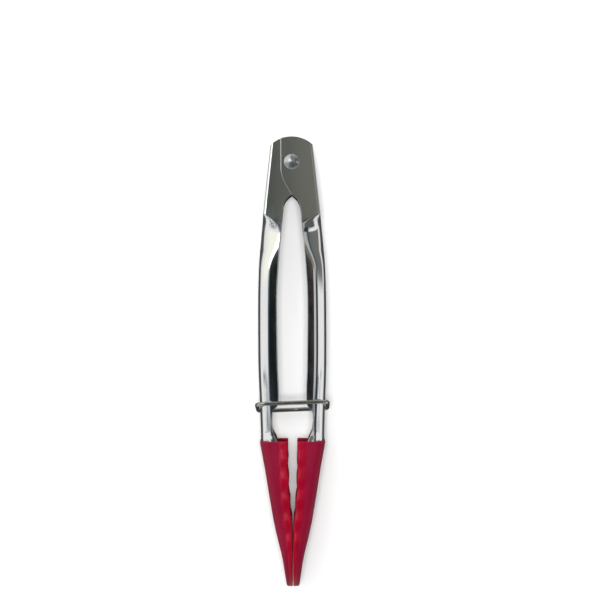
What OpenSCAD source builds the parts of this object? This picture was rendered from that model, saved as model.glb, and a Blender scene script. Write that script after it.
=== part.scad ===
// Spring loaded kitchen tongs with a sliding lock ring and soft tips, closed and locked.
// They lie on their side: X is the closing direction, Y runs from the tips up to the hinge,
// and Z is the pin's axis.
// Lengths along an arm are given as d, the distance below the hinge pin, in millimetres.

/* [Overall] */
// Distance from the hinge pin to the end of the tips
pin_to_tip = 226.6; // [210:0.2:260]
// Height of the ears' top edge above the hinge pin
ear_top = 13.3; // [13:0.1:13.5]
// Overall thickness along the pin, over the tips' widest scallops
overall_z = 28.4; // [28:0.2:32]

/* [Arms] */
// Thickness of the sheet steel
sheet = 0.9; // [0.7:0.1:1]
// Width of the arms along the pin
arm_z = 21; // [20:0.5:22]
// Corner radius of the channel at the hinge
hinge_corner = 1.3; // [1.1:0.1:2]
// Corner radius where the folded ears turn into the rounded grip
turn_corner = 13; // [8:0.5:13]
// Corner radius of the channel along the grip
grip_corner = 6.6; // [3:0.1:6.8]
// Play between the nested ears, on each side
ear_play = 0.15; // [0.1:0.05:0.3]
// Distance that an ear reaches past the pin
ear_reach = 5.8; // [4:0.1:6]
// Half the spine-to-spine width where the spines end, above the pin
spine_end_x = 11.2; // [11:0.1:11.5]
// Height of the spines' ends above the pin
spine_end_d = 9; // [8.5:0.1:9.5]

/* [Hinge] */
// Radius of the rivet's shank
pin_r = 2.5; // [2:0.1:3]
// Running clearance between the shank and the ears' holes
pin_play = 0.05; // [0.02:0.01:0.1]
// Radius of the rivet's domed head
head_r = 4.2; // [3.5:0.1:5]
// Height of the domed head
head_h = 1.6; // [1.2:0.1:2.6]
// Radius of the closed end
tail_r = 3.7; // [3.2:0.1:4.5]
// Height of the closed end
tail_h = 1.8; // [1:0.1:2.2]

/* [Spring] */
// Wire radius of the torsion spring
spring_wire = 0.8; // [0.5:0.1:0.9]
// Mean radius of its coil
coil_r = 4.1; // [3.6:0.1:4.5]
// Whole turns in the coil
coil_turns = 4; // [3:1:5]
// Rise of the coil per turn
coil_pitch = 2; // [1.9:0.1:2.4]
// How far below the pin its legs press on the arms
leg_d = 25; // [18:1:30]

/* [Lock ring] */
// Wire radius of the ring
ring_wire = 1.05; // [0.8:0.05:1.2]
// Half the inside width of the ring
ring_in_x = 17.75; // [17.7:0.05:19]
// Half the inside depth of the ring along the pin
ring_in_z = 11.35; // [11.2:0.05:12]
// Bend radius of its corners, at the wire's centre
ring_bend = 4; // [2:0.5:6]
// Distance of the ring below the pin when it locks the arms
ring_d = 130.5; // [126:0.5:131]
// Tilt of the ring, its underside nearer to the tips
ring_lean = 12.5; // [0:0.5:13]
// Skew of the ring, its right side nearer to the hinge
ring_skew = 2; // [0:0.5:3]
// Gap of the butt joint in the ring's wire
butt_gap = 0.2; // [0.1:0.1:0.5]

/* [Soft tips] */
// Length of a soft tip
tip_len = 78.1; // [70:0.1:80]
// Thickness of a soft tip's wall, with the steel inside it
tip_wall = 3; // [2.6:0.1:3.4]
// Thickness of the soft layer outside the steel
skin = 1.1; // [0.9:0.05:1.2]
// Half the width of the tips' flat sides along the pin
tip_half_z = 13.4; // [13:0.1:13.4]
// Width of the scalloped lip
lip_w = 4.6; // [3:0.1:5]
// Pitch of the scallops
scallop_pitch = 11.05; // [10.5:0.05:12]
// Height of a scallop from its bottom to its flat top
scallop_h = 1.5; // [0.5:0.1:1.8]
// Height of the lip above a tip's flat side
lip_h = 0.8; // [0.6:0.05:0.8]
// Place of the first scallop's middle
scallop_d = 157.2; // [156:0.1:159]

/* [Hidden] */
$fn = 64;

STEEL = [0.78, 0.79, 0.8];
WIRE = [0.55, 0.56, 0.58];
SILICONE = [0.82, 0.07, 0.13];

pin_y = (pin_to_tip - ear_top) / 2;    // puts the origin at the middle of the length
mid_z = overall_z / 2;                 // height of the plane that the tongs are symmetric about
tip_d = pin_to_tip - tip_len;          // where the soft tips begin
core_end_d = pin_to_tip - 4.6;         // where the steel ends inside the soft tips
half_gap = 0.15;                       // the closed tips stay this far from the middle plane
corner_steps = 5;                      // flats in each quarter of a channel's corner
fit_gap = 0.03;                        // room around the steel inside a soft tip

// Outside half-width of a closed arm: a straight taper from the hinge, then a long flat belly and a neck
ARM_X = [[-20, 10.01], [-spine_end_d, spine_end_x], [20, 14.35], [36, 16.05], [52, 17.45], [68, 18.05],
    [90, 18.2], [110, 18.05], [128, 17.4], [140, 17], [147, 16.85]];
// Outside half-width of a soft tip, slightly bowed
TIP_X = [[tip_d, 17.5], [156, 16.1], [163, 14.8], [176, 12.7], [189, 10.5], [195, 9.3], [201, 7.85],
    [207, 6.35], [213, 5.15], [220, 4.15], [pin_to_tip, 3.3]];
// Inside edge of a soft tip's lip
LIP_X = [[tip_d, 2.5], [163, 2.1], [175, 1.7], [181, 1.15], [187, 0.65], [193, 0.25], [199, half_gap],
    [pin_to_tip, half_gap]];
full_z_d = 167;                        // where the tips reach their full width along the pin
tip_start_z = 12;                      // half-width of the tips' flat sides where they begin
round_end_d = 204;                     // where the tips' round end starts
round_end_len = 23;                    // length of the ellipse that the round end is cut from
CORE_BLEND = [147, 151];               // the steel steps in under the soft tip between these
EAR_SPREAD = [21, 36];                 // the nested ears widen to the full width between these
TURN = [28, 42];                       // the ears' sharp corners have opened to the turn's between these
max_bend_z = 9.8;                      // no corner reaches further down the spine than this
tip_core_corner = 2;                   // corner radius of the steel inside the soft tips
core_end_corner = 1.2;                 // corner radius where the steel ends
lip_cover = 2;                         // how far inside the lip's edge the steel's own edge lies
least_wall = 1.7;                      // the steel's side walls reach at least this far in from its spine
// Inside edge of an arm's side wall: past the pin at the ear, across the middle plane,
// then the arch, the grip and the neck
EDGE_X = [[4.5, -ear_reach], [9, -4.7], [13, -2.6], [17, -0.3], [19, 2], [21, 3.5], [24, 4.5], [30, 5.1],
    [40, 6.1], [52, 7.2], [70, 8.2], [90, 8.2], [110, 7.9], [129, 7.7], [132.5, 10.5], [142, 10.6],
    [tip_d - 0.5, 8.2]];

// Slope at point i of a list of [x, y] points, from its neighbours
function slope(p, i) =
    let (a = max(i - 1, 0), b = min(i + 1, len(p) - 1)) (p[b].y - p[a].y) / (p[b].x - p[a].x);

// Height at x of the smooth curve through a list of [x, y] points
function curve(p, x) =
    let (
        at = min(max(x, p[0].x), p[len(p) - 1].x),
        i = max([for (k = [0 : len(p) - 2]) if (p[k].x <= at) k]),
        h = p[i + 1].x - p[i].x,
        t = (at - p[i].x) / h,
        s = 1 - t
    )
    s * s * ((1 + 2 * t) * p[i].y + h * t * slope(p, i))
    + t * t * ((1 + 2 * s) * p[i + 1].y - h * s * slope(p, i + 1));

// Rises smoothly from 0 at a to 1 at b
function ease(a, b, x) = let (t = min(max((x - a) / (b - a), 0), 1)) t * t * (3 - 2 * t);
function mix(a, b, t) = a + (b - a) * t;

// Half-width of a tip's side wall along the pin, closing to a round end
function tip_z(d) =
    let (s = max(0, (d - round_end_d) / round_end_len))
    mix(tip_start_z, tip_half_z, ease(tip_d, full_z_d, d)) * sqrt(1 - min(s * s, 0.97));

// Outside of the steel: the bare arm, then the core inside the soft tip
function steel_x(d) = mix(curve(ARM_X, d), curve(TIP_X, d) - skin, ease(CORE_BLEND[0], CORE_BLEND[1], d));
function steel_z(d, nested) =
    let (ear_z = arm_z / 2 - (nested ? sheet + ear_play : 0))
    mix(
        mix(ear_z, arm_z / 2, ease(EAR_SPREAD[0], EAR_SPREAD[1], d)),
        tip_z(d) - skin,
        ease(CORE_BLEND[0] - 4, CORE_BLEND[1], d)
    );

// Corner radius of the steel: sharp at the hinge, widest at the turn, then the grip's, and tight in the tip
function steel_corner(d) =
    let (
        before = min(max((TURN[1] - d) / (TURN[1] - TURN[0]), 0), 1),
        turn = mix(turn_corner, hinge_corner, pow(before, 3)),
        bare = mix(turn, grip_corner, ease(36, 57, d))
    )
    mix(mix(bare, tip_core_corner, ease(150, 200, d)), core_end_corner, ease(200, 220, d));

// Inside edge of the steel's side wall: the list above, then just inside the soft tip's lip
function edge_x(d) =
    d < tip_d ? curve(EDGE_X, d)
    : min(mix(8.2, curve(LIP_X, d) + lip_cover, ease(tip_d, tip_d + 10, d)), steel_x(d) - least_wall);

// Points along a quarter of an ellipse about [x, z], turning from one angle to the other
function quarter(x, z, rx, rz, from, to) =
    [for (k = [0 : corner_steps])
        let (a = mix(from, to, k / corner_steps)) [x + rx * cos(a), z + rz * sin(a)]];

// A channel's cross-section as [x, z] points: out along the outside, back along the inside.
// A bend wider than the side wall is cut short by the wall's open edge.
function channel(x, z, wall, bend, open_x) =
    let (
        bend_z = min(bend, max_bend_z),
        from = max(0, open_x + bend - x),      // where the side wall's edge meets the bend, from its centre
        next = max(0, open_x + 0.4 + bend - x),
        in_x = bend - wall,
        in_z = bend_z - wall,
        edge_z = z - bend_z + bend_z * sqrt(1 - pow(from / bend, 2)),
        inner_z = z - bend_z + in_z * sqrt(1 - pow(from / in_x, 2)),
        out_a = acos(next / bend),
        in_a = acos(next / in_x)
    )
    concat(
        [[open_x, edge_z]],
        quarter(x - bend, z - bend_z, bend, bend_z, out_a, 0),
        quarter(x - bend, bend_z - z, bend, bend_z, 0, -out_a),
        [[open_x, -edge_z], [open_x, -inner_z]],
        quarter(x - bend, bend_z - z, in_x, in_z, -in_a, 0),
        quarter(x - bend, z - bend_z, in_x, in_z, 0, in_a),
        [[open_x, inner_z]]
    );

// Triangles between rings of n points each, the first point being number start
function sides(rings, n, start) = [
    for (i = [0 : rings - 2], k = [0 : n - 1], half = [0, 1])
        let (a = start + i * n + k, b = start + i * n + (k + 1) % n)
        half == 0 ? [a, b, a + n] : [b, b + n, a + n]
];
function flip(faces) = [for (f = faces) [for (k = [len(f) - 1 : -1 : 0]) f[k]]];

// Skin through equal rings of points, closed at both ends by the convex faces of cap
module sweep(rings, cap) {
    n = len(rings[0]);
    last = (len(rings) - 1) * n;
    polyhedron(
        points = [for (ring = rings) each ring],
        faces = concat(flip(cap), sides(len(rings), n, 0), [for (f = cap) [for (k = f) last + k]]),
        convexity = 6
    );
}

// Four-sided faces between points a onwards of a section's outside and points b downwards of its inside
function strip(a, b, count) = [for (k = [0 : count - 1]) [a + k, a + k + 1, b - k - 1, b - k]];
CHANNEL_CAP = strip(0, 4 * corner_steps + 7, 2 * corner_steps + 3);
TIP_CAP = concat(
    [[4 * corner_steps + 13, 0, 1, 2, 3]],
    strip(3, 4 * corner_steps + 13, 2 * corner_steps + 3),
    [[for (k = [10, 6, 7, 8, 9]) 2 * corner_steps + k]]
);

// Places an [x, z] section at distance d below the pin
function place(section, d) = [for (p = section) [p.x, pin_y - d, mid_z + p.y]];

// Distances at which the soft tip's cross-section is taken: six to a scallop
TIP_AT = concat(
    [tip_d, tip_d + 2], [for (k = [-2 : 25]) scallop_d + k * scallop_pitch / 6],
    [for (d = [206, 208.5, 211, 213.5, 216, 218.5, 220.5]) d]
);
END_AT = [223, 224.8, pin_to_tip];
// Distances at which the bare steel's cross-section is taken
ARM_AT = concat(
    [-spine_end_d, 4.5], [for (d = [7 : 2 : 33]) d], [for (d = [36 : 4 : 52]) d], [60, 68],
    [for (d = [79 : 11 : 123]) d], [129, 130.7, 132.5, 135, 142, 144.5, 146.5]
);

// Cross-section of the steel at d, thicker by grow all round
function steel_section(d, nested, grow = 0) =
    channel(
        steel_x(d) + grow,
        steel_z(d, nested) + grow,
        sheet + 2 * grow,
        steel_corner(d) + grow,
        edge_x(d) - grow
    );

// One arm: a folded channel with two round-topped ears, drilled for the rivet
module arm(nested) {
    ear_z = steel_z(0, nested);
    corner_d = (ear_top * ear_top - spine_end_x * spine_end_x - spine_end_d * spine_end_d)
        / (2 * (ear_top - spine_end_d));
    sections = [for (d = concat(ARM_AT, TIP_AT, [core_end_d])) place(steel_section(d, nested), d)];
    difference() {
        union() {
            sweep(sections, CHANNEL_CAP);
            for (z = [mid_z - ear_z, mid_z + ear_z - sheet])
                translate([0, pin_y, z]) linear_extrude(height = sheet) intersection() {
                    translate([0, corner_d]) circle(r = ear_top - corner_d);
                    translate([-ear_reach, spine_end_d])
                        square([ear_reach + spine_end_x - hinge_corner, ear_top]);
                }
        }
        translate([0, pin_y, 0]) cylinder(r = pin_r + pin_play, h = overall_z);
    }
}

// Height of the lip's scallops above the flat side, flat on top and faded out at both ends
function scallop(d) =
    let (dip = (0.5 - min(0.5, cos(360 * (d - scallop_d) / scallop_pitch))) / 1.5)
    lip_h - dip * scallop_h * ease(tip_d, tip_d + 6, d) * (1 - ease(208, 214, d));

// A soft tip's cross-section: a thick channel with a lip along each free edge
function tip_section(d) =
    let (
        x = curve(TIP_X, d),
        z = tip_z(d),
        edge = curve(LIP_X, d),
        lip = min(lip_w, (x - edge) * 0.45),
        top = z + scallop(d) * min(1, lip / 2),
        corner = min(4.5, (x - edge - lip) * 0.8, z * 0.6),
        wall = min(tip_wall, z - 0.5, x - edge - 0.1),
        inner = min(2.5, (x - edge - wall) * 0.8 + 0.05, (z - wall) * 0.8 + 0.05)
    )
    concat(
        [[edge, top - 0.9], [edge + 0.25 * lip, top], [edge + 0.8 * lip, top], [edge + lip, z]],
        quarter(x - corner, z - corner, corner, corner, 90, 0),
        quarter(x - corner, corner - z, corner, corner, 0, -90),
        [[edge + lip, -z], [edge + 0.8 * lip, -top], [edge + 0.25 * lip, -top], [edge, 0.9 - top]],
        [[edge, wall - z]],
        quarter(x - wall - inner, wall + inner - z, inner, inner, -90, 0),
        quarter(x - wall - inner, z - wall - inner, inner, inner, 0, 90),
        [[edge, z - wall]]
    );

// One soft tip around a pocket for the steel core, as one skin: outside, end, pocket and the pocket's mouth
module soft_tip() {
    outside = [for (d = concat(TIP_AT, END_AT)) place(tip_section(d), d)];
    pocket_at = concat(TIP_AT, [core_end_d + fit_gap]);
    pocket = [for (d = pocket_at) place(steel_section(d, true, fit_gap), d)];
    n = len(outside[0]);
    m = len(pocket[0]);
    first = n * len(outside);
    arc = 2 * corner_steps + 2;        // points in the two corners of either section
    lip = [m - 1, n - 1, 0, 1, 2, 3];
    mouth = concat(
        [for (k = [1 : 4]) [first + m - 1, lip[k], lip[k + 1]]],
        [[first + m - 1, 3, first], [3, 4, first + 1, first]],
        [for (k = [0 : arc - 2]) [4 + k, 5 + k, first + 2 + k, first + 1 + k]],
        [[3 + arc, 4 + arc, first + 1 + arc, first + arc]],
        [[4 + arc, first + 2 + arc, first + 1 + arc]],
        [for (k = [4 : 7]) [k + arc, k + arc + 1, first + 2 + arc]],
        [[first + 2 + arc, 8 + arc, 9 + arc, first + 3 + arc]],
        [for (k = [0 : arc - 2]) [first + 3 + arc + k, 9 + arc + k, 10 + arc + k, first + 4 + arc + k]],
        [[first + m - 2, n - 2, n - 1, first + m - 1]]
    );
    polyhedron(
        points = concat([for (ring = outside) each ring], [for (ring = pocket) each ring]),
        faces = concat(
            flip(mouth),
            sides(len(outside), n, 0),
            [for (f = TIP_CAP) [for (k = f) first - n + k]],
            flip(sides(len(pocket), m, first)),
            flip([for (f = CHANNEL_CAP) [for (k = f) first + m * (len(pocket) - 1) + k]])
        ),
        convexity = 8
    );
}

// A round-topped button of a given radius and height
module dome(r, h) {
    ball = (r * r + h * h) / (2 * h);
    intersection() {
        translate([0, 0, h - ball]) sphere(r = ball);
        cylinder(r = r + 1, h = h + 1);
    }
}

// One piece of round wire through a list of points, with a ring of points square to each bend
module wire(path, r, sides = 8) {
    n = len(path);
    sweep([for (i = [0 : n - 1])
        let (
            dir = path[min(i + 1, n - 1)] - path[max(i - 1, 0)],
            u = dir / norm(dir),
            across = cross(u, [0, 0, 1]),
            e = across / norm(across),
            f = cross(e, u)
        )
        [for (k = [0 : sides - 1]) let (a = 360 * k / sides) path[i] + r * (cos(a) * e + sin(a) * f)]],
        [[for (k = [0 : sides - 1]) k]]);
}

module outer_arm() {
    color(STEEL) arm(false);
}

module inner_arm() {
    color(STEEL) mirror([1, 0, 0]) arm(true);
}

module hinge_rivet() {
    face = arm_z / 2 + 0.1;
    color(STEEL) translate([0, pin_y, mid_z]) {
        translate([0, 0, -face]) cylinder(r = pin_r, h = 2 * face);
        translate([0, 0, face]) dome(head_r, head_h);
        mirror([0, 0, 1]) translate([0, 0, face]) dome(tail_r, tail_h);
    }
}

// A coil around the rivet whose two legs press outwards on the arms' spines
module torsion_spring() {
    leg_x = steel_x(leg_d) - sheet - spring_wire - 0.12;
    reach = norm([leg_x, leg_d]);
    leave = acos(coil_r / reach) - atan(leg_d / leg_x);
    sweep_a = 360 * coil_turns + 180 - 2 * leave;
    steps = round(sweep_a / 20);
    rise = coil_pitch * sweep_a / 360;
    coil = [for (k = [0 : steps])
        let (a = 180 - leave - sweep_a * k / steps, z = mid_z + rise * (k / steps - 0.5))
        [coil_r * cos(a), pin_y + coil_r * sin(a), z]];
    ends = [for (s = [-1, 1]) [s * leg_x, pin_y - leg_d, mid_z + s * rise / 2]];
    color(WIRE) wire(concat([ends[0]], coil, [ends[1]]), spring_wire);
}

// A rounded rectangle of wire around both arms, butted at the middle of its underside
module locking_ring() {
    half_x = ring_in_x + ring_wire;
    half_z = ring_in_z + ring_wire;
    long = half_x - ring_bend;
    short = half_z - ring_bend;
    color(WIRE) translate([0, pin_y - ring_d, mid_z]) rotate([-ring_lean, 0, ring_skew]) difference() {
        union() for (s = [-1, 1]) {
            translate([-long, 0, s * half_z]) rotate([0, 90, 0]) cylinder(r = ring_wire, h = 2 * long);
            translate([s * half_x, 0, -short]) cylinder(r = ring_wire, h = 2 * short);
            for (v = [-1, 1])
                translate([s * long, 0, v * short])
                    mirror([s < 0 ? 1 : 0, 0, 0]) mirror([0, 0, v < 0 ? 1 : 0]) rotate([90, 0, 0])
                        rotate_extrude(angle = 90) translate([ring_bend, 0]) circle(r = ring_wire);
        }
        translate([1, -2, -half_z - 2]) cube([butt_gap, 4, 4]);
    }
}

module outer_arm_tip() {
    color(SILICONE) soft_tip();
}

module inner_arm_tip() {
    color(SILICONE) mirror([1, 0, 0]) soft_tip();
}

outer_arm();
inner_arm();
hinge_rivet();
torsion_spring();
locking_ring();
outer_arm_tip();
inner_arm_tip();
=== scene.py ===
"""Looks for the spring loaded kitchen tongs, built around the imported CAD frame."""

import math

import bmesh
import bpy
import numpy as np
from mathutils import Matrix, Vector


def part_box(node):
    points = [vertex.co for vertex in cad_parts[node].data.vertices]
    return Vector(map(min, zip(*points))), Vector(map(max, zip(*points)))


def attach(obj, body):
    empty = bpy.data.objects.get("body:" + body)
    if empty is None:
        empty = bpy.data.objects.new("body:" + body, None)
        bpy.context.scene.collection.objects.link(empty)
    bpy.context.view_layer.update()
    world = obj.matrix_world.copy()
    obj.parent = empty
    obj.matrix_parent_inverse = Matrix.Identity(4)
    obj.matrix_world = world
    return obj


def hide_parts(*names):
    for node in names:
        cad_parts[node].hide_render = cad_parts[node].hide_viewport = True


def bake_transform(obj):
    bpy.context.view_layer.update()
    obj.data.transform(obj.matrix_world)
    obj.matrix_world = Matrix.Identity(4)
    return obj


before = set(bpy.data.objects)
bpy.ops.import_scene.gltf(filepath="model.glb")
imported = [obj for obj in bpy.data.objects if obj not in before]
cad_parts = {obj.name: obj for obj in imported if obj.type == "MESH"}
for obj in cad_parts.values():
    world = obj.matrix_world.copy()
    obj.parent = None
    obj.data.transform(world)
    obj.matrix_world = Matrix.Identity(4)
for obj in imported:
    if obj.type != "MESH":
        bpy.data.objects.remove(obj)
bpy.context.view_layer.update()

MM = 0.001

# The driving dimensions in millimetres, as in the CAD source. d is the distance below the hinge pin.
SHEET = 0.9  # thickness of the sheet steel
ARM_Z = 21.0  # width of the arms along the pin
EAR_PLAY = 0.15  # between the nested ears, on each side
EAR_TOP = 13.3  # height of the ears' top edge above the pin
SPINE_END = (11.2, 9.0)  # half-width and height above the pin where the spines end
HINGE_CORNER, TURN_CORNER, GRIP_CORNER = 1.3, 13, 6.6  # corner radii of the folded steel
PIN_TO_TIP = 226.6
TIP_START = 148.5  # d where the soft tips begin
CORE_END = 222.0  # d where the steel ends inside them
SKIN = 1.1  # soft layer outside the steel
TIP_WALL = 3.0  # wall of a soft tip, with the steel inside it
HALF_GAP = 0.15  # from a closed tip to the middle plane
SCALLOP_PITCH, FIRST_SCALLOP = 11.05, 157.2
PIN_R, HOLE_R = 2.5, 2.55
RING_D = 130.5  # d of the locked ring

# Where the frame puts the hinge pin: the middle of the rivet in X and Y, and of a soft tip in Z
RIVET_LOW, RIVET_HIGH = (np.array(c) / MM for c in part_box("hinge_rivet"))
TIP_LOW, TIP_HIGH = (np.array(c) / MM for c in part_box("outer_arm_tip"))
PIN_X, PIN_Y = (RIVET_LOW[:2] + RIVET_HIGH[:2]) / 2
MID_Z = (TIP_LOW[2] + TIP_HIGH[2]) / 2


# ---------------------------------------------------------------- profiles, as in the CAD source


def curve(points, x):
    """Height at x of the smooth curve through [x, y] points, with each slope taken from the neighbours."""
    px, py = (np.array(c, float) for c in zip(*points))
    before = np.maximum(np.arange(len(px)) - 1, 0)
    after = np.minimum(np.arange(len(px)) + 1, len(px) - 1)
    slopes = (py[after] - py[before]) / (px[after] - px[before])
    at = np.clip(x, px[0], px[-1])
    i = np.clip(np.searchsorted(px, at, side="right") - 1, 0, len(px) - 2)
    h = px[i + 1] - px[i]
    t = (at - px[i]) / h
    s = 1 - t
    return s * s * ((1 + 2 * t) * py[i] + h * t * slopes[i]) + t * t * (
        (1 + 2 * s) * py[i + 1] - h * s * slopes[i + 1]
    )


def ease(a, b, x):
    """Rises smoothly from 0 at a to 1 at b."""
    t = np.clip((x - a) / (b - a), 0, 1)
    return t * t * (3 - 2 * t)


def mix(a, b, t):
    return a + (b - a) * t


# Outside half-widths of a closed arm and of a soft tip, then the inside edges of a tip's lip and of an arm
ARM_X = [(-20, 10.01), (-9, 11.2), (20, 14.35), (36, 16.05), (52, 17.45), (68, 18.05), (90, 18.2)]
ARM_X += [(110, 18.05), (128, 17.4), (140, 17), (147, 16.85)]
TIP_X = [(148.5, 17.5), (156, 16.1), (163, 14.8), (176, 12.7), (189, 10.5), (195, 9.3), (201, 7.85)]
TIP_X += [(207, 6.35), (213, 5.15), (220, 4.15), (PIN_TO_TIP, 3.3)]
LIP_X = [(148.5, 2.5), (163, 2.1), (175, 1.7), (181, 1.15), (187, 0.65), (193, 0.25), (199, HALF_GAP)]
LIP_X += [(PIN_TO_TIP, HALF_GAP)]
EDGE_X = [(4.5, -5.8), (9, -4.7), (13, -2.6), (17, -0.3), (19, 2), (21, 3.5), (24, 4.5), (30, 5.1)]
EDGE_X += [(40, 6.1), (52, 7.2), (70, 8.2), (90, 8.2), (110, 7.9), (129, 7.7), (132.5, 10.5)]
EDGE_X += [(142, 10.6), (148, 8.2)]


def tip_z(d):
    """Half-width of a tip along the pin, closing to a round end."""
    s = max(0.0, (d - 204) / 23)
    return mix(12, 13.4, ease(TIP_START, 167, d)) * math.sqrt(1 - min(s * s, 0.97))


def steel_x(d):
    """Outside half-width of the steel: the bare arm, then the core inside the soft tip."""
    return mix(curve(ARM_X, d), curve(TIP_X, d) - SKIN, ease(147, 151, d))


def steel_z(d, nested):
    """Half-width of the steel along the pin. The nested ears are narrower by a sheet and some play."""
    ear = ARM_Z / 2 - (SHEET + EAR_PLAY if nested else 0)
    return mix(mix(ear, ARM_Z / 2, ease(21, 36, d)), tip_z(d) - SKIN, ease(143, 151, d))


def steel_corner(d):
    """Corner radius of the steel: sharp at the hinge, widest at the turn, and tight inside the soft tip."""
    turn = mix(TURN_CORNER, HINGE_CORNER, np.clip((42 - d) / 14, 0, 1) ** 3)
    bare = mix(turn, GRIP_CORNER, ease(36, 57, d))
    return mix(mix(bare, 2, ease(150, 200, d)), 1.2, ease(200, 220, d))


def edge_x(d):
    """Inside edge of the steel's side walls."""
    if d < TIP_START:
        return curve(EDGE_X, d)
    return min(mix(8.2, curve(LIP_X, d) + 2, ease(TIP_START, TIP_START + 10, d)), steel_x(d) - 1.7)


# ---------------------------------------------------------------- mesh building


def add_object(name, points, faces, material, smooth_deg=32):
    """A mesh object from points in millimetres, smooth except across edges sharper than smooth_deg."""
    mesh = bpy.data.meshes.new(name)
    mesh.from_pydata([tuple(p * MM) for p in np.asarray(points, float)], [], faces)
    obj = bpy.data.objects.new(name, mesh)
    bpy.context.scene.collection.objects.link(obj)
    mesh.materials.append(material)
    finish_mesh(obj, smooth_deg)
    return obj


def finish_mesh(obj, smooth_deg):
    """Turns faces outwards and shades the mesh smooth, with sharp edges kept."""
    work = bmesh.new()
    work.from_mesh(obj.data)
    bmesh.ops.remove_doubles(work, verts=work.verts, dist=2e-6)
    bmesh.ops.recalc_face_normals(work, faces=work.faces)
    work.to_mesh(obj.data)
    work.free()
    obj.data.shade_smooth()
    obj.data.set_sharp_from_angle(angle=math.radians(smooth_deg))


def apply_modifiers(obj):
    graph = bpy.context.evaluated_depsgraph_get()
    mesh = bpy.data.meshes.new_from_object(obj.evaluated_get(graph))
    obj.modifiers.clear()
    obj.data = mesh


def settle_normals(obj):
    """Weights the shading normals by face area, so that flat sheet stays flat right up to its bends."""
    mod = obj.modifiers.new("flat", "WEIGHTED_NORMAL")
    mod.keep_sharp = True
    apply_modifiers(obj)


def loft(name, rings, material, smooth_deg=32):
    """A closed skin through rings of equally many points, capped at both ends."""
    n = len(rings[0])
    faces = []
    for i in range(len(rings) - 1):
        for k in range(n):
            a, b = i * n + k, i * n + (k + 1) % n
            faces.append((a, b, b + n, a + n))
    last = (len(rings) - 1) * n
    faces.append(tuple(range(n)))
    faces.append(tuple(last + k for k in reversed(range(n))))
    return add_object(name, np.concatenate(rings), faces, material, smooth_deg)


def boolean(obj, cutter, operation):
    """Applies an exact boolean to obj and deletes the cutter."""
    mod = obj.modifiers.new("cut", "BOOLEAN")
    mod.object, mod.operation, mod.solver = cutter, operation, "EXACT"
    apply_modifiers(obj)
    bpy.data.objects.remove(cutter)


def prism(name, outline, low_z, high_z, material):
    """A straight prism over an [x, y] outline in millimetres."""
    rings = [[(x, y, z) for x, y in outline] for z in (low_z, high_z)]
    return loft(name, [np.array(r) for r in rings], material)


def arc(centre, radius, start_deg, end_deg, steps):
    """Points along a circular arc in a plane."""
    angles = np.radians(np.linspace(start_deg, end_deg, steps + 1))
    return [(centre[0] + radius * math.cos(a), centre[1] + radius * math.sin(a)) for a in angles]


def tube(name, path, radius, material, sides):
    """A round wire along a path in millimetres, with rounded ends."""
    path = np.array(path, float)
    dirs = np.gradient(path, axis=0)
    dirs /= np.linalg.norm(dirs, axis=1)[:, None]
    end_angles = [math.radians(a) for a in (90, 70, 50, 30, 10)]
    end_rings = [(0.6 * radius * math.sin(a), max(math.cos(a), 0.02)) for a in end_angles]
    spots = [(path[0] - dirs[0] * out, dirs[0], share) for out, share in end_rings]
    spots += [(p, u, 1.0) for p, u in zip(path, dirs)]
    spots += [(path[-1] + dirs[-1] * out, dirs[-1], share) for out, share in reversed(end_rings)]
    up = np.cross(dirs[0], (0, 0, 1.0))
    turns = np.linspace(0, 2 * math.pi, sides, endpoint=False)
    rings = []
    for p, u, share in spots:
        up = up - u * np.dot(up, u)
        up /= np.linalg.norm(up)
        side = np.cross(u, up)
        r = radius * share
        rings.append(np.array([p + r * (math.cos(a) * up + math.sin(a) * side) for a in turns]))
    return loft(name, rings, material, smooth_deg=60)


# ---------------------------------------------------------------- materials

RELIEF = 0.00003  # metres between the low and the high of a bump pattern


def new_material(name):
    """A material, its nodes and links, and its shader."""
    material = bpy.data.materials.new(name)
    material.use_nodes = True
    nodes, links = material.node_tree.nodes, material.node_tree.links
    return material, nodes, links, nodes["Principled BSDF"]


def noise(nodes, links, scale, detail, stretch=(1, 1, 1)):
    """A noise pattern fixed to the object."""
    coord = nodes.new("ShaderNodeTexCoord")
    mapping = nodes.new("ShaderNodeMapping")
    mapping.inputs["Scale"].default_value = stretch
    texture = nodes.new("ShaderNodeTexNoise")
    texture.inputs["Scale"].default_value = scale
    texture.inputs["Detail"].default_value = detail
    links.new(coord.outputs["Object"], mapping.inputs["Vector"])
    links.new(mapping.outputs["Vector"], texture.inputs["Vector"])
    return texture


def spread(nodes, links, source, low, high, start=0.3, end=0.7):
    """Maps a pattern from start..end to low..high."""
    ramp = nodes.new("ShaderNodeMapRange")
    ramp.inputs["From Min"].default_value = start
    ramp.inputs["From Max"].default_value = end
    ramp.inputs["To Min"].default_value = low
    ramp.inputs["To Max"].default_value = high
    links.new(source, ramp.inputs["Value"])
    return ramp.outputs["Result"]


def add_bump(nodes, links, shader, height, strength):
    """Fine relief from a pattern."""
    bump = nodes.new("ShaderNodeBump")
    bump.inputs["Strength"].default_value = strength
    bump.inputs["Distance"].default_value = RELIEF
    links.new(height, bump.inputs["Height"])
    links.new(bump.outputs["Normal"], shader.inputs["Normal"])


def steel_material():
    """Mirror-polished stainless sheet with faint smears and slow waviness."""
    material, nodes, links, shader = new_material("polished_steel")
    shader.inputs["Base Color"].default_value = (0.78, 0.785, 0.78, 1)
    shader.inputs["Metallic"].default_value = 1.0
    smears = noise(nodes, links, 260, 4, (1, 0.25, 1))
    links.new(spread(nodes, links, smears.outputs["Fac"], 0.04, 0.1), shader.inputs["Roughness"])
    waves = noise(nodes, links, 95, 1.5, (1, 0.5, 1))
    add_bump(nodes, links, shader, waves.outputs["Fac"], 0.5)
    return material


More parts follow.
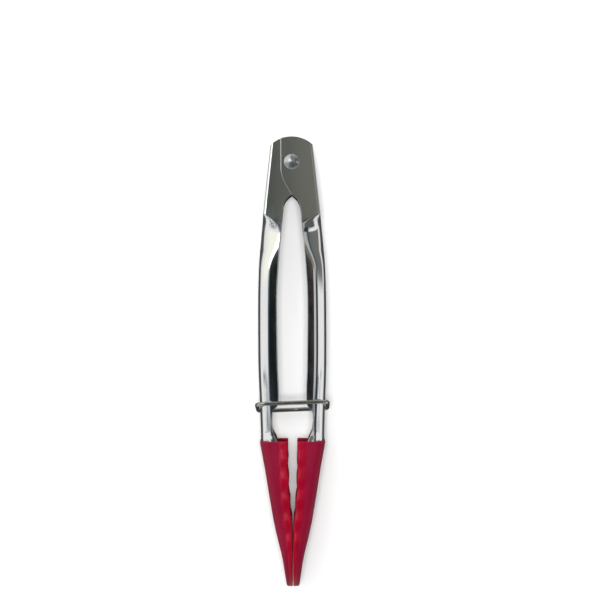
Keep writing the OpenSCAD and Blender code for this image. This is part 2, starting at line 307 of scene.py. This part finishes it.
def wire_material(name, colour, low, high):
    """Drawn wire with fine marks along it."""
    material, nodes, links, shader = new_material(name)
    shader.inputs["Base Color"].default_value = (*colour, 1)
    shader.inputs["Metallic"].default_value = 1.0
    marks = noise(nodes, links, 900, 3)
    links.new(spread(nodes, links, marks.outputs["Fac"], low, high), shader.inputs["Roughness"])
    return material


def silicone_material():
    """Satin red silicone: matt flat sides and smoother lips, with painted light making the lips a brighter
    red.
    """
    material, nodes, links, shader = new_material("red_silicone")
    clouds = noise(nodes, links, 70, 3)
    grain = noise(nodes, links, 2600, 2)
    lips = nodes.new("ShaderNodeAttribute")
    lips.attribute_name = "lip"
    flat_reds = ((0.16, 0.0006, 0.016), (0.195, 0.0011, 0.022))
    # painted light: the lips' brighter red stands in for the extra light they catch; the silicone is the
    # same all over
    painted_bright_lip_reds = ((0.225, 0.0004, 0.011), (0.26, 0.0006, 0.016))
    colours = []
    for low, high in (flat_reds, painted_bright_lip_reds):
        tint = nodes.new("ShaderNodeMix")
        tint.data_type = "RGBA"
        tint.inputs["A"].default_value = (*low, 1)
        tint.inputs["B"].default_value = (*high, 1)
        links.new(spread(nodes, links, clouds.outputs["Fac"], 0, 1), tint.inputs["Factor"])
        colours.append(tint)
    blend = nodes.new("ShaderNodeMix")
    blend.data_type = "RGBA"
    links.new(lips.outputs["Fac"], blend.inputs["Factor"])
    links.new(colours[0].outputs["Result"], blend.inputs["A"])
    links.new(colours[1].outputs["Result"], blend.inputs["B"])
    links.new(blend.outputs["Result"], shader.inputs["Base Color"])
    shader.inputs["Specular IOR Level"].default_value = 0.24
    shader.inputs["Sheen Weight"].default_value = 0.04
    shader.inputs["Sheen Roughness"].default_value = 0.4
    shader.inputs["Sheen Tint"].default_value = (1, 0.6, 0.75, 1)
    rough = nodes.new("ShaderNodeMapRange")
    rough.inputs["To Min"].default_value = 0.5
    rough.inputs["To Max"].default_value = 0.27
    links.new(lips.outputs["Fac"], rough.inputs["Value"])
    links.new(rough.outputs["Result"], shader.inputs["Roughness"])
    add_bump(nodes, links, shader, grain.outputs["Fac"], 0.35)
    return material


# ---------------------------------------------------------------- the pieces


def bend_points(centre, radii, from_x, steps):
    """Points on a bend's upper half from an x to its side, evenly spaced by angle."""
    start = math.acos(min(1.0, max(0.0, from_x - centre[0]) / radii[0]))
    angles = np.linspace(start, 0, steps + 1)
    return [(centre[0] + radii[0] * math.cos(a), centre[1] + radii[1] * math.sin(a)) for a in angles]


def mirrored(outside, inside):
    """A whole section from its upper half: out along the outside, back along the inside."""
    lower = [(x, -z) for x, z in reversed(outside)]
    lower += [(x, -z) for x, z in reversed(inside)]
    return outside + lower + inside


def channel(x, z, wall, bend, open_x):
    """A channel's cross-section as [x, z] points, with its free edges rounded."""
    steps, edge_r, max_bend_z = 16, 0.22, 9.8
    bend_z = min(bend, max_bend_z)
    centre = (x - bend, z - bend_z)
    out_r, in_r = (bend, bend_z), (bend - wall, bend_z - wall)
    edge_z = bend_points(centre, out_r, open_x + edge_r, 1)[0][1]
    inner_z = bend_points(centre, in_r, open_x + edge_r, 1)[0][1]
    bend_start = open_x + wall / 2
    outside = arc((open_x + edge_r, edge_z - edge_r), edge_r, 180, 90, 4)
    outside += bend_points(centre, out_r, bend_start, steps)
    inside = bend_points(centre, in_r, bend_start, steps)[::-1]
    inside += arc((open_x + edge_r, inner_z + edge_r), edge_r, 270, 180, 4)
    return mirrored(outside, inside)


def place(section, d, side):
    """An [x, z] section at distance d below the pin, on the right (side 1) or the left (side -1)."""
    return np.array([(PIN_X + side * u, PIN_Y - d, MID_Z + v) for u, v in section])


def steel_section(d, nested):
    return channel(steel_x(d), steel_z(d, nested), SHEET, steel_corner(d), edge_x(d))


def make_arm(name, side, nested, material):
    """A folded arm with round-topped ears and a hole for the rivet."""
    smooth_deg = 28
    stations = np.concatenate([np.arange(-16, 4, 4), np.arange(4, 146, 0.7), np.arange(146, CORE_END, 1.2)])
    rings = [place(steel_section(d, nested), d, side) for d in [*stations, CORE_END]]
    arm = loft(name, rings, material, smooth_deg)
    end_x, end_y = SPINE_END
    crown_y = (EAR_TOP**2 - end_x**2 - end_y**2) / (2 * (EAR_TOP - end_y))  # centre of the ears' round top
    base = PIN_Y + crown_y
    crown = arc((PIN_X, base), EAR_TOP - crown_y, 0, 180, 96)
    keep = [(-40, base), (-40, -200), (40, -200), (40, base), *crown]
    boolean(arm, prism("keep", keep, 0, 2 * MID_Z, material), "INTERSECT")
    hole = arc((PIN_X, PIN_Y), HOLE_R, 0, 360, 64)[:-1]
    boolean(arm, prism("hole", hole, 0, 2 * MID_Z, material), "DIFFERENCE")
    finish_mesh(arm, smooth_deg)
    settle_normals(arm)
    return arm


def tip_lip(d):
    """Inside edge, outside edge, height above the flat side and corner radius of a tip's scalloped lip."""
    turns = (d - FIRST_SCALLOP) / SCALLOP_PITCH
    wave = math.cos(2 * math.pi * turns) * ease(149, 156, d) * (1 - ease(206, 213, d))
    edge = curve(LIP_X, d) + 0.22 * (1 - wave) * ease(150, 156, d) * (1 - ease(186, 196, d))
    width = min(4.6, (curve(TIP_X, d) - edge) * 0.45) * (1 + 0.1 * wave)
    share = min(1.0, width / 2)
    return edge, edge + width, (0.44 + 0.36 * wave) * share, min(1.3, width * 0.35)


TIP_CORNER_STEPS = 12
LIP_EDGE_STEPS = 4
# How many of a tip section's points, the last ones, lie along its hollow
CAVITY_POINTS = 2 * (TIP_CORNER_STEPS + 1 + LIP_EDGE_STEPS + 1)


def tip_section(d):
    """A soft tip's cross-section: a thick channel with a raised, scalloped bead along each free edge."""
    x, z = curve(TIP_X, d), tip_z(d)
    edge, lip_end, rise, round_r = tip_lip(d)
    corner = min(4.5, (x - lip_end) * 0.8, z * 0.6)
    wall = min(TIP_WALL, z - 0.5, x - edge - 0.1)
    roof = mix(wall, z - 0.04, ease(212, 221, d))  # the hollow inside closes at the very end
    inner = min(2.5, (x - edge - wall) * 0.8 + 0.05, (z - roof) * 0.8)
    round_r = min(round_r, 0.55 * wall)
    start = edge + round_r
    outside = arc((start, z + rise - round_r), round_r, 180, 94, 7)
    outside += [(mix(start, lip_end, t), z + rise * (1 - t**3.2)) for t in np.linspace(0.12, 1, 12)]
    outside.append((lip_end + 0.15, z))
    outside += arc((x - corner, z - corner), corner, 90, 0, TIP_CORNER_STEPS)
    edge_r = 0.3 * round_r
    inside = arc((x - wall - inner, z - roof - inner), inner, 0, 90, TIP_CORNER_STEPS)
    inside += arc((edge + edge_r, z - roof + edge_r), edge_r, 270, 180, LIP_EDGE_STEPS)
    return mirrored(outside, inside)


def make_tip(name, side, material):
    """A soft tip with rounded ends, moulded round the steel."""
    round_len, round_in, spacing = 1.6, 0.7, 0.6
    round_d = PIN_TO_TIP - round_len
    rings = [place(tip_section(d), d, side) for d in np.arange(TIP_START + spacing, round_d, spacing)]
    for angle in np.radians(np.linspace(0, 84, 7)):
        d = round_d + round_len * math.sin(angle)
        ring = place(tip_section(d), d, side)
        rings.append(shrink(ring, round_in * (1 - math.cos(angle)), CAVITY_POINTS))
    mouth = []
    for share, drop in ((0.3, 0.0), (0.12, 0.1), (0.04, 0.3)):
        ring = shrink(rings[0], share)
        ring[:, 1] = PIN_Y - TIP_START - drop
        mouth.append(ring)
    end = shrink(rings[-1], 0.15, CAVITY_POINTS)
    end[:, 1] = PIN_Y - PIN_TO_TIP
    tip = loft(name, [*mouth, *rings, end], material, smooth_deg=34)
    settle_normals(tip)
    mark_lips(tip)
    return tip


def mark_lips(tip):
    """Stores how far each point belongs to the smooth lip, which also gets the painted brighter red, rather
    than to the matt flat side.
    """
    lips = tip.data.attributes.new("lip", "FLOAT", "POINT")
    for vertex, value in zip(tip.data.vertices, lips.data):
        d = PIN_Y - vertex.co.y / MM
        past_lip = abs(vertex.co.x / MM - PIN_X) - tip_lip(min(d, PIN_TO_TIP))[1]
        value.value = 1 - ease(-0.5, 0.3, past_lip)


def shrink(ring, amount, kept=0):
    """Moves a section's points inwards, square to its outline and in millimetres, except the last few."""
    ahead, behind = np.roll(ring, -1, axis=0), np.roll(ring, 1, axis=0)
    along = (ahead - behind)[:, [0, 2]]
    size = np.maximum(np.linalg.norm(along, axis=1), 1e-9)[:, None]
    normal = np.column_stack([along[:, 1], -along[:, 0]]) / size
    area = np.sum(ring[:, 0] * ahead[:, 2] - ahead[:, 0] * ring[:, 2])
    inward = -normal if area > 0 else normal
    moved = ring.copy()
    moving = len(ring) - kept
    moved[:moving, 0] += inward[:moving, 0] * amount
    moved[:moving, 2] += inward[:moving, 1] * amount
    return moved


def make_rivet(material):
    """A rivet with a domed head above and a flatter, dished end below."""
    face = ARM_Z / 2 + 0.1
    head_r, head_h, tail_r, tail_h, sides = 4.2, 1.6, 3.7, 1.8, 72
    ball = (head_r**2 + head_h**2) / (2 * head_h)  # radius of the sphere that the dome is cut from
    reach = math.asin((head_r - 0.12) / ball)
    profile = [(0.001, face + head_h)]
    for a in np.linspace(math.radians(3), reach, 16):
        profile.append((ball * math.sin(a), face + head_h - ball * (1 - math.cos(a))))
    profile += [(head_r, face + 0.22), (head_r - 0.04, face + 0.05), (head_r - 0.2, face)]
    profile += [(PIN_R, face), (PIN_R, -face)]
    for short_by, drop in ((0.25, 0), (0.05, 0.1), (0, 0.35), (0.1, 0.75), (0.6, 1.3)):
        profile.append((tail_r - short_by, -face - drop))
    for r, hollow in ((2.3, 0.1), (1.6, 0), (1.2, 0.08), (0.6, 0.3), (0.001, 0.36)):
        profile.append((r, hollow - face - tail_h))
    turns = np.linspace(0, 2 * math.pi, sides, endpoint=False)
    middle = np.array((PIN_X, PIN_Y, MID_Z))
    rings = [middle + [(r * math.cos(a), r * math.sin(a), z) for a in turns] for r, z in profile]
    return loft("rivet", rings, material, smooth_deg=35)


def make_spring_halves(material):
    """The torsion spring as two halves, split at the middle of the coil.

    Also returns how far the coil reaches from its middle along the pin.
    """
    coil_r, coil_turns, pitch, leg_d, wire = 4.1, 4, 2, 25.0, 0.8
    leg_x = steel_x(leg_d) - SHEET - wire - 0.12
    reach = math.hypot(leg_x, leg_d)
    leave = math.degrees(math.acos(coil_r / reach) - math.atan2(leg_d, leg_x))
    sweep = 360 * coil_turns + 180 - 2 * leave
    rise = pitch * sweep / 360
    share = np.linspace(0, 0.5, 90)
    halves = []
    for side, name in ((-1, "spring_left"), (1, "spring_right")):
        turns = np.radians(180 - leave - sweep * share if side < 0 else leave + sweep * share)
        z = side * rise * (0.5 - share)
        coil = [(coil_r * math.cos(a), coil_r * math.sin(a), h) for a, h in zip(turns, z)]
        leg_end = np.array((side * leg_x, -leg_d, side * rise / 2))
        leg = [tuple(mix(leg_end, np.array(coil[0]), t)) for t in np.linspace(0, 1, 24)[:-1]]
        path = [(PIN_X + x, PIN_Y + y, MID_Z + h) for x, y, h in leg + coil]
        halves.append(tube(name, path, wire, material, sides=14))
    return halves, rise / 2


def make_ring(material):
    """The lock ring: a rounded rectangle of wire, leaning and skewed, with its ends butted."""
    wire, bend, half_x, half_z = 1.05, 4.0, 18.8, 12.4
    lean, skew = math.radians(-12.5), math.radians(2)
    butt_x, half_butt = 1.1, 0.12  # where the wire's ends meet, and half the gap between them
    splay, splay_len = 0.12, 1.2  # the ends turn out a little
    loop = [(butt_x + half_butt, -half_z - splay), (butt_x + splay_len, -half_z)]
    for side_x, side_z, start in ((1, -1, 270), (1, 1, 0), (-1, 1, 90), (-1, -1, 180)):
        loop += arc((side_x * (half_x - bend), side_z * (half_z - bend)), bend, start, start + 90, 14)
    loop += [(butt_x - splay_len, -half_z), (butt_x - half_butt, -half_z - splay)]
    dense = [loop[0]]
    for a, b in zip(loop, loop[1:]):
        count = max(1, round(math.dist(a, b) / 0.8))
        dense += [tuple(mix(np.array(a), np.array(b), (k + 1) / count)) for k in range(count)]
    path = []
    for x, z in dense:
        y, z = -z * math.sin(lean), z * math.cos(lean)
        x, y = x * math.cos(skew) - y * math.sin(skew), x * math.sin(skew) + y * math.cos(skew)
        path.append((PIN_X + x, PIN_Y - RING_D + y, MID_Z + z))
    return tube("ring", path, wire, material, sides=24)


# ---------------------------------------------------------------- stage


def area_light(name, place_at, size, power):
    """A soft light aimed at the tongs, which the steel doesn't mirror: it mirrors the studio instead."""
    light = bpy.data.lights.new(name, "AREA")
    light.shape, light.size, light.size_y, light.energy = "RECTANGLE", *size, power
    obj = bpy.data.objects.new(name, light)
    obj.location = place_at
    obj.rotation_euler = (Vector((0, 0, MID_Z * MM)) - Vector(place_at)).to_track_quat("-Z", "Y").to_euler()
    obj.visible_glossy = False
    bpy.context.scene.collection.objects.link(obj)


# The studio that the steel mirrors: colours by sideways angle from straight up, in degrees, negative to
# the left. The first list is the front half of the studio and the second the back half, behind the hinge.
FRONT = [(-180, 0.05), (-112, 0.1), (-106, 0.95), (-60, 1.0), (-27, 0.93), (-22, (0.13, 0.18, 0.23))]
FRONT += [(-13, (0.025, 0.035, 0.045)), (-2, (0.009, 0.013, 0.015)), (2.2, 0.013), (4, (0.7, 0.62, 0.62))]
FRONT += [(18, (0.66, 0.62, 0.62)), (23, (0.02, 0.035, 0.04)), (37, (0.03, 0.06, 0.07)), (42, 0.94)]
FRONT += [(75, 1.0), (107, 0.9), (113, 0.1), (179, 0.05)]
BACK = [(-180, 0.05), (-114, 0.12), (-106, 0.9), (-60, (1.15, 1.14, 1.03)), (-19, (1.15, 1.14, 1.0))]
BACK += [(-14, (0.12, 0.15, 0.18)), (-1.2, (0.07, 0.08, 0.077)), (-0.4, (0.12, 0.12, 0.11))]
BACK += [(0.3, (0.2, 0.2, 0.17)), (14, (0.2, 0.2, 0.17)), (20, (0.55, 0.5, 0.5)), (28, (0.5, 0.5, 0.52))]
BACK += [(33, (0.05, 0.09, 0.11)), (46, (0.16, 0.17, 0.16)), (95, (0.2, 0.2, 0.19)), (102, 0.9)]
BACK += [(112, 0.85), (118, 0.1), (179, 0.05)]
FRONT_CARD = (0.11, 0.12, 0.115)  # grey, low in front
CLUTTER = (0.05, 0.07, 0.1)  # dark patches in front
END_CARD = (0.82, 0.83, 0.84)  # pale, low at both ends of the tongs
LAMP = (2.6, 2.7, 2.75)
LAMP_SIDEWAYS, LAMP_ALONG = -17, 16  # degrees from straight up
LAMP_RADIUS = (10, 14)  # degrees, fading between these


class WorldNodes:
    """Shorthands for the node tree of the studio."""

    def __init__(self, tree):
        self.nodes, self.links = tree.nodes, tree.links

    def math(self, operation, a, b=None):
        node = self.nodes.new("ShaderNodeMath")
        node.operation = operation
        for socket, value in zip(node.inputs, (a, b)):
            if isinstance(value, (int, float)):
                socket.default_value = value
            elif value is not None:
                self.links.new(value, socket)
        return node.outputs["Value"]

    def times(self, a, b):
        return self.math("MULTIPLY", a, b)

    def rise(self, value, start, end):
        """From 0 at start to 1 at end, smoothly."""
        node = self.nodes.new("ShaderNodeMapRange")
        node.interpolation_type = "SMOOTHSTEP"
        node.inputs["From Min"].default_value = start
        node.inputs["From Max"].default_value = end
        self.links.new(value, node.inputs["Value"])
        return node.outputs["Result"]

    def fall(self, value, start, end):
        """From 1 at start to 0 at end, smoothly."""
        return self.rise(self.times(value, -1), -end, -start)

    def blend(self, factor, a, b):
        node = self.nodes.new("ShaderNodeMix")
        node.data_type = "RGBA"
        self.links.new(factor, node.inputs["Factor"])
        for socket, value in ((node.inputs["A"], a), (node.inputs["B"], b)):
            if isinstance(value, tuple):
                socket.default_value = (*value, 1)
            else:
                self.links.new(value, socket)
        return node.outputs["Result"]

    def ramp(self, place_on_ramp, stops):
        """Colours by an angle from -180 to 180 degrees, given as a share of the whole turn."""
        node = self.nodes.new("ShaderNodeValToRGB")
        elements = node.color_ramp.elements
        while len(elements) < len(stops):
            elements.new(1.0)
        for element, (deg, colour) in zip(elements, stops):
            element.position = (deg + 180) / 360
            element.color = (*colour, 1) if isinstance(colour, tuple) else (colour, colour, colour, 1)
        self.links.new(place_on_ramp, node.inputs["Fac"])
        return node.outputs["Color"]

    def patches(self, direction):
        """Irregular patches, long sideways and short along the tongs."""
        stretch = self.nodes.new("ShaderNodeMapping")
        stretch.inputs["Scale"].default_value = (2.2, 34, 2.2)
        self.links.new(direction, stretch.inputs["Vector"])
        texture = self.nodes.new("ShaderNodeTexNoise")
        texture.inputs["Scale"].default_value = 1.3
        self.links.new(stretch.outputs["Vector"], texture.inputs["Vector"])
        return self.rise(texture.outputs["Fac"], 0.46, 0.56)

    def disc(self, direction, centre, radius):
        """1 within a circle of the sky, fading between two radii in degrees."""
        towards = self.nodes.new("ShaderNodeVectorMath")
        towards.operation = "DOT_PRODUCT"
        towards.inputs[1].default_value = centre
        self.links.new(direction, towards.inputs[0])
        inner, outer = (math.cos(math.radians(r)) for r in radius)
        return self.rise(towards.outputs["Value"], outer, inner)


def build_world():
    """Long cards at both sides with a dark gap above, cards in front and at the ends, and a lamp."""
    world = bpy.data.worlds.new("studio")
    bpy.context.scene.world = world
    world.use_nodes = True
    tree = WorldNodes(world.node_tree)
    direction = tree.nodes.new("ShaderNodeTexCoord").outputs["Generated"]
    split = tree.nodes.new("ShaderNodeSeparateXYZ")
    tree.links.new(direction, split.inputs["Vector"])
    x, y, z = split.outputs
    sideways = tree.times(tree.math("ARCTAN2", x, z), 180 / math.pi)
    along = tree.times(tree.math("ARCSINE", y), 180 / math.pi)
    forwards = tree.times(along, -1)

    turn = tree.math("DIVIDE", tree.math("ADD", sideways, 180), 360)
    colour = tree.blend(tree.rise(along, 1.2, 2.6), tree.ramp(turn, FRONT), tree.ramp(turn, BACK))
    near = tree.times(tree.rise(forwards, 3.7, 4.3), tree.rise(z, 0.1, 0.35))
    colour = tree.blend(tree.times(near, tree.patches(direction)), colour, CLUTTER)
    middle = tree.times(tree.rise(sideways, -38, -26), tree.fall(sideways, 70, 85))
    colour = tree.blend(tree.times(tree.rise(forwards, 5.8, 8), middle), colour, FRONT_CARD)
    ends = tree.times(tree.rise(tree.math("ABSOLUTE", along), 34, 43), tree.fall(z, 0.3, 0.45))
    colour = tree.blend(ends, colour, END_CARD)
    lamp_x, lamp_y = (math.tan(math.radians(a)) for a in (LAMP_SIDEWAYS, LAMP_ALONG))
    lamp = Vector((lamp_x, lamp_y, 1)).normalized()
    colour = tree.blend(tree.disc(direction, lamp, LAMP_RADIUS), colour, LAMP)
    background = tree.nodes["Background"]
    tree.links.new(colour, background.inputs["Color"])
    background.inputs["Strength"].default_value = 1.0


def build_floor():
    material, nodes, links, shader = new_material("floor")
    shader.inputs["Base Color"].default_value = (0.86, 0.86, 0.86, 1)
    shader.inputs["Roughness"].default_value = 0.7
    mesh = bpy.data.meshes.new("floor")
    mesh.from_pydata([(-3, -3, 0), (3, -3, 0), (3, 3, 0), (-3, 3, 0)], [], [(0, 1, 2, 3)])
    mesh.materials.append(material)
    floor = bpy.data.objects.new("floor", mesh)
    bpy.context.scene.collection.objects.link(floor)
    floor.visible_glossy = False


def build_camera():
    """Straight down along the pin, rolled a little, with the tongs left of and above the middle."""
    near_z = MID_Z + ARM_Z / 2
    distance = 830.0
    frame_width = 318.0  # millimetres across the picture at the near side of the arms
    camera = bpy.data.cameras.new("camera")
    camera.sensor_width = 36
    camera.lens = camera.sensor_width * distance / frame_width
    obj = bpy.data.objects.new("camera", camera)
    obj.location = ((PIN_X + 4.2) * MM, (PIN_Y - 73.43) * MM, (near_z + distance) * MM)
    obj.rotation_euler = (0, 0, math.radians(-0.2))
    bpy.context.scene.collection.objects.link(obj)
    bpy.context.scene.camera = obj
    bpy.context.scene.view_settings.view_transform = "Standard"


# ---------------------------------------------------------------- build


build_camera()
build_world()
build_floor()
area_light("overhead", (0, 0, 1.3), (0.35, 0.35), 13.5)
area_light("back_fill", (0, 0.9, 0.45), (0.6, 0.4), 5)

steel = steel_material()
rivet_steel = wire_material("rivet_steel", (0.5, 0.52, 0.53), 0.24, 0.34)
ring_steel = wire_material("ring_wire", (0.4, 0.4, 0.365), 0.1, 0.2)
spring_steel = wire_material("spring_wire", (0.42, 0.42, 0.42), 0.2, 0.35)
silicone = silicone_material()

for node, body, side, nested in (("outer_arm", "right_arm", 1, False), ("inner_arm", "left_arm", -1, True)):
    arm = make_arm(f"{node}_sheet", side, nested, steel)
    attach(arm, body)
    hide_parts(node)
    tip = make_tip(f"{node}_soft_tip", side, silicone)
    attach(tip, body)
    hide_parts(f"{node}_tip")

rivet = make_rivet(rivet_steel)
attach(rivet, "hinge")
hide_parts("hinge_rivet")

ring = make_ring(ring_steel)
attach(ring, "ring")
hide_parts("locking_ring")

(left_half, right_half), coil_end = make_spring_halves(spring_steel)
for half, body, way in ((left_half, "left_arm", -1), (right_half, "right_arm", 1)):
    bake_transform(half)
    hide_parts("torsion_spring")
